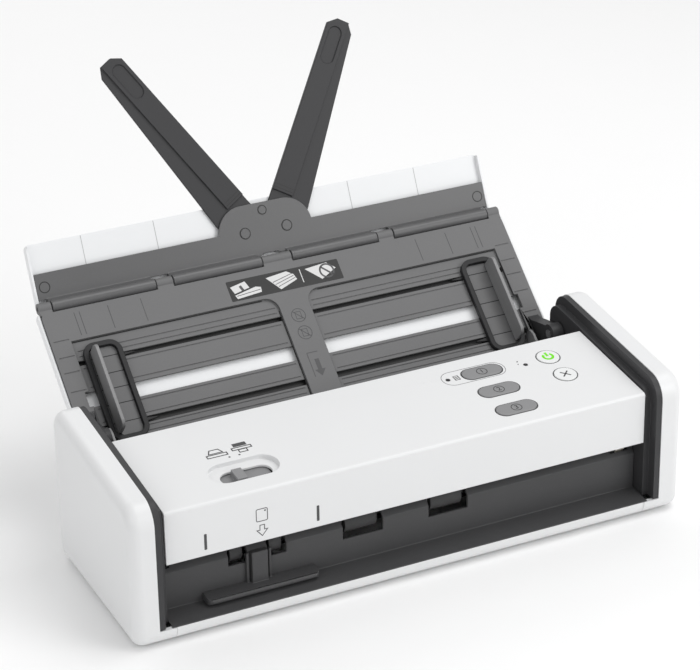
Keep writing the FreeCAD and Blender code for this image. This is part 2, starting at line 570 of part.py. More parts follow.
idlerPins = idlerPair("nip", "nipRadius", ("driveY", "nipZ"), ("-75", "-35", "35", "75"), "6", "1.2")
idlerPins += idlerPair("star", "starRadius", ("ejectY", "starZ"), ("-wideRollerX", "wideRollerX"), "3", "1")
idlerPins += idlerPair("brake", "brakeRadius", ("pickY", "brakeZ"), ("0",), "19", "1.6")
node(group(*idlerPins), "idler_pins")
node(fuse(block(("cardX - 32", "cardX + 32"), ("-35.6", "-25.6"), ("40.2", "41.6")),
          rod("1.4", ("cardX - 32", "cardX + 32"), ("-25.6", "41"))), "exit_diverter")

# ---------------------------------------------------------------- lid, in its own frame
face = "faceH"
floorH = "faceH - recessDeep"
under = "faceH - 2.7"
tray = slab([("-neckHalf", "lidFoot"), ("neckHalf", "lidFoot"), ("neckHalf", "lidNeck"),
             ("lidHalf", "lidNeck"), ("lidHalf", "lidTop"), ("-lidHalf", "lidTop"),
             ("-lidHalf", "lidNeck"), ("-neckHalf", "lidNeck")], (under, face))
soften(tray, "3", lambda m, e: runs(e, "z") and near(m.y, size("lidTop")))
cavities = []
for side in (1, -1):
    room = slab([(f"{side} * {x}", y) for x, y in (("ribHalf", "lidFoot - 1"), ("recessHalf", "lidFoot - 1"),
                                                   ("recessHalf", "recessTop"), ("ribHalf", "recessTop"))],
                (floorH, "faceH + 1"))
    soften(room, "7", lambda m, e: runs(e, "z") and near(abs(m.x), size("ribHalf")) and m.y > 50)
    cavities.append(room)
for low, high in (("ribHalf", "recessHalf"), ("-recessHalf", "-ribHalf")):
    for start, end in (("slotLow", "slotHigh"), ("slotTwoLow", "slotTwoHigh")):
        cavities.append(block((low, high), (start, end), ("faceH - 5", "faceH + 1")))
    for start in ("4.6", "7.6", "14.2", "21.6", "34", "44.6", "51.4", "54.4"):
        cavities.append(block((f"{low} + 2", f"{high} - 2"), (start, f"{start} + 0.5"), (f"{floorH} - 0.4", f"{floorH} + 0.1")))
for low, high in (("recessHalf + 0.8", "lidHalf - 1.8"), ("1.8 - lidHalf", "-recessHalf - 0.8")):
    for start in ("20.4", "33", "43.6", "52.2", "61.5"):
        cavities.append(block((low, high), (start, f"{start} + 0.45"), ("faceH - 0.35", "faceH + 1")))
for low, high in (("ribHalf", "paneHalf"), ("-paneHalf", "-ribHalf"), ("117", "123.6"), ("-123.6", "-117")):
    cavities.append(block((low, high), ("paneLow", "paneHigh"), ("faceH - 5", "faceH + 1")))
tabSpans = [("-8.2", "8.2"), ("59", "68"), ("-68", "-59"), ("125.4", "lidHalf"), ("-lidHalf", "-125.4")]
tabs = []
for low, high in tabSpans:
    tabs.append(block((low, high), ("lidTop - 1", "barrelS"), ("barrelH - 0.8", "faceH")))
    tabs.append(rod("barrelRadius - 0.4", (low, high), ("barrelS", "barrelH")))
ears = []
for ends in (("124", "neckHalf"), ("-neckHalf", "-124")):
    ears.append(profile([("lidFoot", under), ("lidFoot", "faceH - 0.5"), ("-5.4", "-3"), ("-5.4", "0"), ("5.4", "0"),
                         ("8.2", "-3.6"), ("11.4", "-7.6"), ("lidNeck", "faceH + 2.4"), ("lidNeck + 3.5", "faceH - 0.2"),
                         ("lidNeck + 3.5", under)], ends))
    ears.append(rod("5.4", ends, ("0", "0")))
rodHole = rod("rodRadius + 0.05", ("-140", "140"), ("barrelS", "barrelH"))
pinHole = rod("shaftRadius + 0.06", ("-140", "140"), ("0", "0"))
node(cut(fuse(cut(tray, *cavities), *tabs, *ears), rodHole, pinHole), "tray_panel", lidFrame)

skinTop, skinLow = "faceH - 4.2", "faceH - 5.7"
shell = slab([("-neckHalf", "lidFoot"), ("neckHalf", "lidFoot"), ("neckHalf", "lidNeck"),
              ("lidSkinHalf", "lidNeck"), ("lidSkinHalf", "lidTop"), ("-lidSkinHalf", "lidTop"),
              ("-lidSkinHalf", "lidNeck"), ("-neckHalf", "lidNeck")], (skinLow, "faceH - 1"))
hollow(shell, "XY_Plane", skinTop, "4",
       [("-neckHalf + 1.3", "lidFoot + 1.3"), ("neckHalf - 1.3", "lidFoot + 1.3"),
        ("neckHalf - 1.3", "lidNeck + 1.4"), ("lidSkinHalf - 1.3", "lidNeck + 1.4"),
        ("lidSkinHalf - 1.3", "lidTop + 1"), ("-lidSkinHalf + 1.3", "lidTop + 1"),
        ("-lidSkinHalf + 1.3", "lidNeck + 1.4"), ("-neckHalf + 1.3", "lidNeck + 1.4")])
gap = "0.05"
panelRoom = slab([(f"-neckHalf - {gap}", "lidFoot - 1"), (f"neckHalf + {gap}", "lidFoot - 1"),
                  (f"neckHalf + {gap}", f"lidNeck - {gap}"), (f"lidHalf + {gap}", f"lidNeck - {gap}"),
                  (f"lidHalf + {gap}", "lidTop + 1"), (f"-lidHalf - {gap}", "lidTop + 1"),
                  (f"-lidHalf - {gap}", f"lidNeck - {gap}"), (f"-neckHalf - {gap}", f"lidNeck - {gap}")],
                 (under, "faceH + 1"))
stud = peg("1.5", ("0", "rackS"), (f"{skinTop} - 0.1", "faceH - 2.8"))
node(fuse(cut(shell, panelRoom), stud), "lid_shell", lidFrame)

# ---------------------------------------------------------------- paper guides, in the lid's frame
guideFloor = "faceH - recessDeep"
rackTop, rackLow = "faceH - 2.9", "faceH - 3.9"
pitch = math.pi * size("toothSize")


def rack(side, rail, lean):
    """A toothed bar that meshes with the pinion; its teeth reach lean-wards, towards the pinion."""
    edge = size("rackS") + rail * (size("rackRadius") + 1.1)
    back = edge + rail * 2.6
    tip = edge - rail * 1.75
    ends = sorted((side * 105.0, side * -5.0))
    points = [Vector(ends[0], back, 0), Vector(ends[1], back, 0), Vector(ends[1], edge, 0)]
    steps = int((ends[1] - ends[0] - 4) / pitch)
    centre = (lean + 0.5) * pitch
    first = centre + pitch * math.ceil((ends[0] + 2 - centre) / pitch)
    teeth = []
    for i in range(steps):
        x = first + i * pitch
        teeth += [Vector(x - 0.31 * pitch, edge, 0), Vector(x - 0.12 * pitch, tip, 0),
                  Vector(x + 0.12 * pitch, tip, 0), Vector(x + 0.31 * pitch, edge, 0)]
    points += [p for p in reversed(teeth)] + [Vector(ends[0], edge, 0)]
    face = Part.Face(Part.makePolygon(points + points[:1]))
    solid = face.extrude(Vector(0, 0, 1.0))
    solid.translate(Vector(0, 0, size("faceH") - 3.9))
    return solid


def corners(x, y):
    """The four corners of a rectangle."""
    return [(x[0], y[0]), (x[1], y[0]), (x[1], y[1]), (x[0], y[1])]


def guide(side, label):
    """The sliding part of one paper guide: a plate, the raised loop on it, its foot and its rack."""
    x = (lambda low, high: (low, high)) if side > 0 else (lambda low, high: (f"-({high})", f"-({low})"))
    outer = slab(corners(x("loopIn", "loopOut"), ("loopLow", "loopHigh")), (guideFloor, "faceH + 1.2"))
    inner = slab(corners(x("loopIn + wire", "loopOut - wire"), ("loopLow + wire", "loopHigh - wire")),
                 (f"{guideFloor} + guidePlate", "faceH + 2"))
    soften(outer, "loopRound", lambda m, e: runs(e, "z"))
    soften(inner, "loopRound - wire", lambda m, e: runs(e, "z"))
    plate = cut(outer, inner)
    tabs = []
    for middle, half in (("(slotLow + slotHigh) / 2", 1.2), ("(slotTwoLow + slotTwoHigh) / 2", 0.95)):
        tabs.append(slab([(f"{side} * (loopIn + 0.4)", f"{middle} - {half}"), (f"{side} * (loopIn - 6.5)", f"{middle} - 0.3"),
                          (f"{side} * (loopIn - 6.5)", f"{middle} + 0.3"), (f"{side} * (loopIn + 0.4)", f"{middle} + {half}")],
                         (f"{guideFloor} - 0.9", f"{guideFloor} + 0.45")))
    low, high = ("slotTwoLow + 0.2", "slotTwoHigh - 0.2") if side > 0 else ("paneLow + 0.4", "paneHigh - 0.4")
    foot = block(x("98.5", "105"), (low, high), (rackLow, f"{guideFloor} + 0.1"))
    bars = doc.addObject("Part::Feature", "rack")
    bars.Shape = rack(side, 1 if side > 0 else -1, 0)
    link = block(x("98.5", "105"), ("rackS + 6", "slotTwoHigh - 0.2") if side > 0
                 else ("paneLow + 0.4", "rackS - 6"), (rackLow, rackTop))
    pins = [doc.addObject("Part::Cylinder", "lug") for _ in range(2)]
    for pin, start in zip(pins, ("loopLow + 1", "loopHigh - wire - 3.2")):
        pin.Radius = 0.6
        pin.setExpression("Height", bound("wire + 2.2"))
        pin.Placement.Rotation = FreeCAD.Rotation(Vector(1, 0, 0), -90)
        for axis, text in zip("xyz", (f"{side} * finX", start, "faceH + finAxis")):
            pin.setExpression("Placement.Base." + axis, bound(text))
    return node(fuse(plate, *tabs, foot, bars, link, *pins), label, lidFrame)


def fin(side, label):
    """The upright plate that the sheets run against; it folds inwards about two lugs."""
    start, end = "loopLow + wire + 1.4", "loopHigh - wire - 1.4"
    blade = profile([(start, "faceH + finAxis"), (end, "faceH + finAxis"), (end, "faceH + finTall"),
                     (start, "faceH + finTall")], (f"{side} * finX - finThick / 2", f"{side} * finX + finThick / 2"))
    soften(blade, "3.4", lambda m, e: runs(e, "x") and m.z > size("faceH") + 8)
    knuckle, hole = doc.addObject("Part::Cylinder", "knuckle"), doc.addObject("Part::Cylinder", "hole")
    for part, radius, low in ((knuckle, 1.1, start), (hole, 0.66, "0")):
        part.Radius = radius
        part.setExpression("Height", bound(f"({end}) - ({start})") if part is knuckle else "80")
        part.Placement.Rotation = FreeCAD.Rotation(Vector(1, 0, 0), -90)
        for axis, text in zip("xyz", (f"{side} * finX", low, "faceH + finAxis")):
            part.setExpression("Placement.Base." + axis, bound(text))
    return node(cut(fuse(blade, knuckle), hole), label, lidFrame)


guide(1, "right_guide")
guide(-1, "left_guide")
fin(1, "right_guide_plate")
fin(-1, "left_guide_plate")

pinion = doc.addObject("Part::Feature", "guide_pinion")
flat = teethFace(8, 0.0)
flat.rotate(Vector(0, 0, 0), Vector(0, 1, 0), -90)
wheel = flat.extrude(Vector(0, 0, 1.0))
wheel.translate(Vector(0, size("rackS"), size("faceH") - 3.9))
wheel = wheel.cut(Part.makeCylinder(1.55, 4, Vector(0, size("rackS"), size("faceH") - 5)))
pinion.Shape = wheel
node(pinion, "guide_pinion", lidFrame)

# ---------------------------------------------------------------- flap, in its own frame
stripLow = "stripH - 0.9"
strip = slab([("-flapHalf + 1.4", "4"), ("flapHalf - 1.4", "4"), ("flapHalf - 1.4", "stripEdge"),
              ("bracketRadius + armX", "stripEdge"), ("-bracketRadius - armX", "stripEdge"),
              ("-flapHalf + 1.4", "stripEdge")], (stripLow, "stripH"))
bracket = [peg("bracketRadius", (f"{side} * armX", "armV"), (stripLow, "stripH")) for side in (-1, 1)]
bracket.append(block(("-armX", "armX"), ("armV - 6", "armV + bracketRadius"), (stripLow, "stripH")))
knuckles, leaves = [], []
for low, high in (("8.7", "58.5"), ("68.5", "124.9")):
    for first, last in ((low, high), (f"-{high}", f"-{low}")):
        knuckles.append(rod("barrelRadius", (first, last), ("0", "0")))
        leaves.append(profile([("-0.6", "-1.5"), ("-0.6", "-6.9"), ("4.5", "-6.9"), ("4.5", "stripH"),
                               ("3.2", "-2.4")],
                              (first, last)))
studsHere = [peg("2.4", (f"{side} * armX", "armV"), ("stripH - 2.6", "stripH - 0.4")) for side in (-1, 1)]
rodBore = rod("rodRadius + 0.05", ("-140", "140"), ("0", "0"))
node(cut(fuse(strip, *bracket, *knuckles, *leaves, *studsHere), rodBore), "flap_frame", flapFrame)
node(rod("rodRadius", ("-129", "129"), ("0", "0")), "flap_hinge_rod", flapFrame)

flapSkin = slab([("-flapHalf", "0.4"), ("flapHalf", "0.4"), ("flapHalf", "flapEnd"), ("-flapHalf", "flapEnd")],
                ("stripH - 4.2", "stripH"))
soften(flapSkin, "3", lambda m, e: runs(e, "z") and m.y > 30)
hollow(flapSkin, "XY_Plane", "stripH - 2.7", "4",
       [("-flapHalf + 1.3", "-1"), ("flapHalf - 1.3", "-1"), ("flapHalf - 1.3", "flapEnd + 1"),
        ("-flapHalf + 1.3", "flapEnd + 1")])
node(flapSkin, "flap_shell", flapFrame)


def arm(side, label):
    """A support arm, drawn along X from its pivot, with a thin edge that hides under the strip."""
    s = str(side)
    thin = slab([(f"{s} * 0", "-8.8"), (f"{s} * 13.5", "-8.8"), (f"{s} * 110", "-1.6"),
                 (f"{s} * armLong", "2"), (f"{s} * armLong", "9"), (f"{s} * 111", "13.7"),
                 (f"{s} * 8", "13.7"), (f"{s} * -2", "9")], ("stripH - 2.5", "stripH - 1.1"))
    thick = slab([(f"{s} * 15.6", "1.8"), (f"{s} * armLong", "2"), (f"{s} * armLong", "9"),
                  (f"{s} * 111", "13.7"), (f"{s} * 15.6", "13.7")], ("stripH - 1.2", "stripH"))
    disc = peg("11.3", ("0", "0"), ("stripH - 2.5", "stripH - 1.1"))
    hole = peg("2.5", ("0", "0"), ("stripH - 5", "stripH + 1"))
    dent = capsule("21", "7.4", (f"{s} * 100", "7.8"), ("stripH - 0.7", "stripH + 1"))
    return node(cut(fuse(thin, thick, disc), hole, dent), label, armFrames[side])


arm(1, "right_arm")
arm(-1, "left_arm")

# ---------------------------------------------------------------- test and write
doc.recompute()
faulty = []
for part in doc.Objects:
    if any(word in ("Invalid", "Error") for word in part.State):
        faulty.append(f"{part.Name} {part.Label} {part.State}")
for part in nodes:
    if part.Shape.isNull() or not part.Shape.isValid() or not part.Shape.Solids:
        faulty.append(f"{part.Label} has no valid shape")
if faulty:
    raise RuntimeError("; ".join(faulty))
os.makedirs("parts", exist_ok=True)
for part in nodes:
    part.Shape.exportStep(f"parts/{part.Label}.step")
    box = part.Shape.BoundBox
    print(f"{part.Label:22s} {len(part.Shape.Solids)} solids {part.Shape.Volume:10.1f} mm3"
          f"  x {box.XMin:.1f}..{box.XMax:.1f} y {box.YMin:.1f}..{box.YMax:.1f} z {box.ZMin:.1f}..{box.ZMax:.1f}")
print(len(nodes), "nodes")
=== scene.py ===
import bpy
import bmesh
import json
import math
from mathutils import Matrix, Vector


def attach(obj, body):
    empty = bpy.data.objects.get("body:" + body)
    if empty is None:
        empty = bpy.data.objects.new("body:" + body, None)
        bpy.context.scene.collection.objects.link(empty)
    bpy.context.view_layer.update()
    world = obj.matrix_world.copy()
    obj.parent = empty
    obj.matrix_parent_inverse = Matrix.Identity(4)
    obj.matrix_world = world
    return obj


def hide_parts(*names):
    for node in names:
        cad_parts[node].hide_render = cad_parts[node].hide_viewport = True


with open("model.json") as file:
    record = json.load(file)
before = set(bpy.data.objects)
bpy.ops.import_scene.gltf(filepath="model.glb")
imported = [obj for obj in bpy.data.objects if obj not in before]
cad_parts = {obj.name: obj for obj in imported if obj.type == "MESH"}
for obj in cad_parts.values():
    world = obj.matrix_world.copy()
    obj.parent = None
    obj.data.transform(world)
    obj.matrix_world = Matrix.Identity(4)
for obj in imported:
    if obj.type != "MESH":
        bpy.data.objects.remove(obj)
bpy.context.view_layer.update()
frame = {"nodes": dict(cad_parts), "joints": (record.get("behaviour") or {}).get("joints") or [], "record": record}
nodes = frame["nodes"]
joints = {joint["name"]: joint for joint in frame["joints"]}
bodyOf = {node: body for body, members in frame["record"]["behaviour"]["bodies"].items() for node in members}
scene = bpy.context.scene
print("frame loaded:", len(nodes), "nodes")


# Camera and lights
camera = {"azimuth": -25.49, "elevation": 26.38, "roll": -0.91, "lens": 136.28,
          "target": (-0.01111, 0.0, 0.11357), "distance": 1.2926}


def placeCamera(look):
    turn, lift = math.radians(look["azimuth"]), math.radians(look["elevation"])
    back = Vector((math.sin(turn) * math.cos(lift), -math.cos(turn) * math.cos(lift), math.sin(lift)))
    right = (-back).cross(Vector((0, 0, 1))).normalized()
    up = right.cross(-back)
    roll = math.radians(look["roll"])
    across = right * math.cos(roll) + up * math.sin(roll)
    above = up * math.cos(roll) - right * math.sin(roll)
    data = bpy.data.cameras.new("camera")
    data.lens, data.sensor_width = look["lens"], 36
    data.clip_end = 20
    made = bpy.data.objects.new("camera", data)
    scene.collection.objects.link(made)
    made.matrix_world = Matrix.Translation(Vector(look["target"]) + back * look["distance"]) @ Matrix(
        (across, above, back)).transposed().to_4x4()
    scene.camera = made


placeCamera(camera)

aim = Vector((0, 0, 0.08))
lights = {
    "top": {"at": (0.45, -0.15, 1.35), "size": 0.8, "power": 6.6},
    "front": {"at": (1.0, -1.2, 0.85), "size": 0.9, "power": 8.4},
    "left": {"at": (-1.5, -0.8, 0.7), "size": 0.9, "power": 4.0},
    "rear": {"at": (-0.1, 1.4, 1.0), "size": 0.9, "power": 4.0},
}
for name, light in lights.items():
    data = bpy.data.lights.new(name, "AREA")
    data.size, data.energy = light["size"], light["power"]
    made = bpy.data.objects.new(name, data)
    scene.collection.objects.link(made)
    made.location = light["at"]
    made.rotation_euler = (Vector(light["at"]) - aim).to_track_quat("Z", "Y").to_euler()
scene.world = scene.world or bpy.data.worlds.new("studio")
scene.world.use_nodes = True
sky = scene.world.node_tree.nodes["Background"]
sky.inputs["Color"].default_value = (1, 1, 1, 1)
sky.inputs["Strength"].default_value = 0.6
scene.view_settings.view_transform = "Standard"
print("camera and lights set")


# Shader wiring
class Flow:
    def __init__(self, tree, socket=None):
        self.tree, self.socket = tree, socket

    def node(self, kind, settings=None, sockets=None, out=0):
        made = self.tree.nodes.new(kind)
        for word, value in (settings or {}).items():
            if word == "stops":
                ramp = made.color_ramp
                while len(ramp.elements) < len(value):
                    ramp.elements.new(0.5)
                for element, (at, colour) in zip(ramp.elements, value):
                    element.position, element.color = at, colour
            else:
                setattr(made, word, value)
        for word, value in (sockets or {}).items():
            if isinstance(value, Flow):
                self.tree.links.new(value.socket, made.inputs[word])
            else:
                made.inputs[word].default_value = value
        return Flow(self.tree, made.outputs[out])

    def math(self, operation, a, b):
        return self.node("ShaderNodeMath", {"operation": operation}, {0: a, 1: b})

    def __add__(self, other):
        return self.math("ADD", self, other)

    def __rsub__(self, other):
        return self.math("SUBTRACT", other, self)

    def __mul__(self, other):
        return self.math("MULTIPLY", self, other)

    def __gt__(self, other):
        return self.math("GREATER_THAN", self, other)

    def mix(self, low, high):
        return self.node("ShaderNodeMix", {"data_type": "RGBA"}, {0: self, 6: low, 7: high}, out=2)


def shade(colour, factor):
    return tuple(min(1.0, c * factor) for c in colour[:3]) + (1.0,)


def newMaterial(name):
    made = bpy.data.materials.new(name)
    made.use_nodes = True
    flow = Flow(made.node_tree)
    shader = made.node_tree.nodes["Principled BSDF"]
    place = flow.node("ShaderNodeTexCoord", out="Object")
    return made, flow, shader, place


def join(flow, shader, **sockets):
    for word, value in sockets.items():
        socket = shader.inputs[word.replace("_", " ")]
        if isinstance(value, Flow):
            flow.tree.links.new(value.socket, socket)
        else:
            socket.default_value = value


def bump(flow, height, strength, depth):
    return flow.node("ShaderNodeBump", sockets={"Strength": strength, "Distance": depth, "Height": height})


def plastic(name, colour, rough, grain=900.0, depth=0.00002, strength=0.25, drift=0.05, mirror=0.5):
    made, flow, shader, place = newMaterial(name)
    cloud = flow.node("ShaderNodeTexNoise", sockets={"Vector": place, "Scale": 28.0, "Detail": 4.0})
    spark = flow.node("ShaderNodeTexNoise", sockets={"Vector": place, "Scale": grain, "Detail": 2.0})
    mottle = cloud * 0.7 + spark * 0.3
    join(flow, shader, Base_Color=mottle.mix(shade(colour, 1 - drift), shade(colour, 1 + drift)),
         Roughness=cloud * 0.08 + spark * 0.08 + (rough - 0.08), Normal=bump(flow, spark, strength, depth),
         Specular_IOR_Level=mirror)
    return made


def metal(name, colour, rough, stretch=(6.0, 900.0, 900.0)):
    made, flow, shader, place = newMaterial(name)
    drawn = flow.node("ShaderNodeMapping", sockets={"Vector": place, "Scale": stretch})
    lines = flow.node("ShaderNodeTexNoise", sockets={"Vector": drawn, "Scale": 1.0, "Detail": 3.0})
    join(flow, shader, Base_Color=lines.mix(shade(colour, 0.85), shade(colour, 1.1)), Metallic=1.0,
         Roughness=lines * 0.15 + rough, Normal=bump(flow, lines, 0.1, 0.00002))
    return made


def rubber(name, colour):
    made, flow, shader, place = newMaterial(name)
    ground = flow.node("ShaderNodeMapping", sockets={"Vector": place, "Scale": (1400.0, 260.0, 260.0)})
    ribs = flow.node("ShaderNodeTexNoise", sockets={"Vector": ground, "Scale": 1.0, "Detail": 2.0})
    dust = flow.node("ShaderNodeTexNoise", sockets={"Vector": place, "Scale": 60.0, "Detail": 5.0})
    join(flow, shader, Base_Color=dust.mix(shade(colour, 0.8), shade(colour, 1.25)),
         Roughness=ribs * 0.1 + 0.72, Normal=bump(flow, ribs, 0.4, 0.00006))
    return made


def laminate(name, colour, trace):
    made, flow, shader, place = newMaterial(name)
    tracks = flow.node("ShaderNodeTexBrick", {"offset": 0.5}, {"Vector": place, "Scale": 160.0,
                                                               "Mortar Size": 0.06, "Row Height": 0.22}, out=1)
    pads = flow.node("ShaderNodeTexVoronoi", sockets={"Vector": place, "Scale": 210.0})
    mask = tracks * 0.6 + (0.16 - pads > 0.0)
    join(flow, shader, Base_Color=mask.mix(shade(colour, 1), shade(trace, 1)), Roughness=pads * 0.2 + 0.3,
         Normal=bump(flow, mask, 0.3, 0.00004))
    return made


def clear(name, colour, alpha):
    made, flow, shader, place = newMaterial(name)
    haze = flow.node("ShaderNodeTexNoise", sockets={"Vector": place, "Scale": 90.0, "Detail": 3.0})
    join(flow, shader, Base_Color=haze.mix(shade(colour, 0.96), shade(colour, 1.04)), Roughness=haze * 0.06 + 0.03,
         Alpha=alpha)
    return made


def glowing(name, colour, power):
    made, flow, shader, place = newMaterial(name)
    even = flow.node("ShaderNodeTexNoise", sockets={"Vector": place, "Scale": 500.0})
    join(flow, shader, Base_Color=shade(colour, 0.12), Roughness=even * 0.1 + 0.5,
         Emission_Color=even.mix(shade(colour, 0.9), shade(colour, 1.1)), Emission_Strength=power)
    return made


paints = {
    "caseWhite": plastic("case_white", (0.75, 0.755, 0.76), 0.36, grain=1300, depth=0.000012, drift=0.012),
    "flapWhite": plastic("flap_white", (0.80, 0.81, 0.82), 0.42, grain=1300, depth=0.000012, drift=0.012),
    "caseDark": plastic("case_dark", (0.042, 0.042, 0.044), 0.44,
                        grain=1100, depth=0.00004, strength=0.5, drift=0.18, mirror=0.3),
    "recessDark": plastic("recess_dark", (0.066, 0.066, 0.068), 0.44,
                          grain=1100, depth=0.00004, strength=0.5, drift=0.16,
                          mirror=0.3),
    "flapDark": plastic("flap_dark", (0.092, 0.092, 0.094), 0.36,
                        grain=1100, depth=0.00004, strength=0.5, drift=0.16, mirror=0.55),
    "armDark": plastic("arm_dark", (0.038, 0.038, 0.04), 0.46,
                       grain=1100, depth=0.00004, strength=0.5, drift=0.16, mirror=0.3),
    "trayGrey": plastic("tray_grey", (0.15, 0.15, 0.152), 0.5,
                        grain=1100, depth=0.00004, strength=0.5, drift=0.12, mirror=0.3),
    "guideGrey": plastic("guide_dark", (0.02, 0.02, 0.021), 0.42, grain=700, depth=0.00002, drift=0.1, mirror=0.22),
    "finGrey": plastic("fin_grey", (0.22, 0.22, 0.223), 0.38, grain=700, depth=0.00002, drift=0.1),
    "keyGrey": plastic("key_grey", (0.24, 0.24, 0.245), 0.4, grain=1500, drift=0.03),
    "keyWhite": plastic("key_white", (0.78, 0.79, 0.79), 0.34, grain=1500, drift=0.015),
    "chassisBlack": plastic("chassis_black", (0.022, 0.022, 0.023), 0.5, drift=0.2),
    "gearCream": plastic("gear_cream", (0.74, 0.71, 0.62), 0.42, drift=0.04),
    "inkGrey": plastic("ink_grey", (0.24, 0.24, 0.245), 0.5, grain=1800, drift=0.05),
    "inkDark": plastic("ink_dark", (0.06, 0.06, 0.062), 0.5, grain=1800, drift=0.08),
    "inkBlack": plastic("ink_black", (0.012, 0.012, 0.012), 0.55, grain=1800, drift=0.2),
    # seam grey is painted shade for the seams of the flap shell
    "seamShadeGrey": plastic("seam_shade_grey", (0.46, 0.46, 0.465), 0.5, grain=1800, drift=0.05),
    "inkLight": plastic("ink_light", (0.66, 0.66, 0.66), 0.5, grain=1800, drift=0.05),
    "rollerGrey": rubber("roller_grey", (0.05, 0.05, 0.051)),
    "footBlack": rubber("foot_black", (0.03, 0.03, 0.03)),
    "steel": metal("steel", (0.56, 0.56, 0.57), 0.22),
    "brass": metal("brass", (0.72, 0.55, 0.28), 0.25),
    "zinc": metal("zinc", (0.72, 0.72, 0.74), 0.18),
    "board": laminate("board_green", (0.02, 0.12, 0.05), (0.10, 0.30, 0.14)),
    "glass": clear("scan_glass", (0.75, 0.85, 0.82), 0.35),
    "lens": clear("lens_dark", (0.02, 0.02, 0.022), 1.0),
    "glow": glowing("power_glow", (0.17, 0.72, 0.0), 0.92),
}

cadPaint = {
    "shaft_bushes": "gearCream", "rear_image_sensor": "chassisBlack", "rear_scan_glass": "glass",
    "pick_shaft": "steel", "pick_rollers": "rollerGrey", "drive_shaft": "steel", "drive_rollers": "rollerGrey",
    "eject_shaft": "steel", "eject_rollers": "rollerGrey", "pick_gear": "gearCream", "drive_gear": "gearCream",
    "eject_gear": "gearCream", "rear_idler_gear": "gearCream", "front_idler_gear": "gearCream",
    "motor_pinion": "brass", "feed_motor": "steel", "main_board": "board", "board_screws": "zinc",
    "rear_sockets": "zinc", "hinge_pins": "steel", "button_board": "board", "light_pipes": "lens",
    "front_image_sensor": "chassisBlack", "front_scan_glass": "glass", "nip_rollers": "rollerGrey",
    "star_rollers": "rollerGrey", "brake_rollers": "rollerGrey", "idler_pins": "steel",
    "exit_diverter": "chassisBlack", "guide_pinion": "gearCream", "flap_hinge_rod": "steel",
    "feed_chassis": "chassisBlack", "cover_inner_frame": "chassisBlack",
}
for node, paint in cadPaint.items():
    nodes[node].data.materials.clear()
    nodes[node].data.materials.append(paints[paint])
print("finishes made:", len(paints))


# Making and placing pieces
def frameAt(origin, normal):
    up = Vector(normal).normalized()
    across = Vector((1, 0, 0))
    along = up.cross(across)
    place = Matrix((across, along, up)).transposed().to_4x4()
    place.translation = Vector(origin)
    return place @ Matrix.Scale(0.001, 4)


lidPlace = frameAt(joints["lid_hinge"]["pos_m"], joints["guide_pinion_spin"]["axis"])
flapPlace = frameAt(joints["flap_hinge"]["pos_m"], joints["left_arm_pivot"]["axis"])
caseFront, edgeHeight = -0.0465, 0.0688
coverPlace = frameAt((0, caseFront, edgeHeight), -Vector(joints["power_press"]["axis"]))
frontPlace = frameAt((0, caseFront, 0), (0, -1, 0))  # x right, y up the front face
pivotX, pivotV, armTurn = 12.0, 16.2, 58.2
armPlace = {side: flapPlace @ Matrix.Translation((side * pivotX, pivotV, 0)) @ Matrix.Rotation(
    side * math.radians(armTurn), 4, "Z") for side in (1, -1)}
sharpTurn = math.radians(32)  # an edge that bends more than this stays sharp


def settle(shape):
    for face in shape.faces:
        face.smooth = True
    for edge in shape.edges:
        edge.smooth = len(edge.link_faces) == 2 and edge.calc_face_angle(0) < sharpTurn


def weighted(piece, width):
    if width:
        edge = piece.modifiers.new("edge", "BEVEL")
        edge.width, edge.segments = width * 0.001, 2
        edge.limit_method, edge.angle_limit = "ANGLE", sharpTurn
        edge.use_clamp_overlap = False
    even = piece.modifiers.new("even", "WEIGHTED_NORMAL")
    even.keep_sharp = True


def finished(node, paint, bevel):
    shape = bmesh.new()
    shape.from_mesh(nodes[node].data)
    bmesh.ops.remove_doubles(shape, verts=shape.verts[:], dist=3e-6)
    bmesh.ops.dissolve_limit(shape, angle_limit=math.radians(0.6), verts=shape.verts[:], edges=shape.edges[:])
    settle(shape)
    mesh = bpy.data.meshes.new(node + "_skin")
    shape.to_mesh(mesh)
    shape.free()
    piece = bpy.data.objects.new(node + "_skin", mesh)
    scene.collection.objects.link(piece)
    mesh.materials.append(paints[paint])
    weighted(piece, bevel)
    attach(piece, bodyOf[node])
    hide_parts(node)
    return piece


def piece(name, shape, place, body, paint, slot, bevel=0.0):
    bmesh.ops.remove_doubles(shape, verts=shape.verts[:], dist=1e-4)
    bmesh.ops.recalc_face_normals(shape, faces=shape.faces[:])
    bmesh.ops.transform(shape, matrix=place, verts=shape.verts[:])
    settle(shape)
    mesh = bpy.data.meshes.new(name)
    shape.to_mesh(mesh)
    shape.free()
    made = bpy.data.objects.new(name, mesh)
    scene.collection.objects.link(made)
    mesh.materials.append(paints[paint])
    weighted(made, bevel)
    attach(made, body)
    return made


def pullUp(shape, faces, height):
    pulled = bmesh.ops.extrude_face_region(shape, geom=faces)
    lifted = [part for part in pulled["geom"] if isinstance(part, bmesh.types.BMVert)]
    bmesh.ops.translate(shape, vec=(0, 0, height), verts=lifted)


def flat(shape, corners, low, rounding, steps):
    before = set(shape.faces)
    rim = [shape.verts.new((x, y, low)) for x, y in corners]
    shape.faces.new(rim).normal_update()  # inset needs the normal
    if rounding:
        bmesh.ops.bevel(shape, geom=rim, offset=rounding, offset_type="OFFSET", segments=steps, profile=0.5,
                        affect="VERTICES", material=-1)
    return next(face for face in shape.faces if face not in before)


def plate(shape, corners, low, high, rounding=0.0, steps=5):
    pullUp(shape, [flat(shape, corners, low, rounding, steps)], high - low)
    return shape


def rectangle(x, y):
    return [(x[0], y[0]), (x[1], y[0]), (x[1], y[1]), (x[0], y[1])]


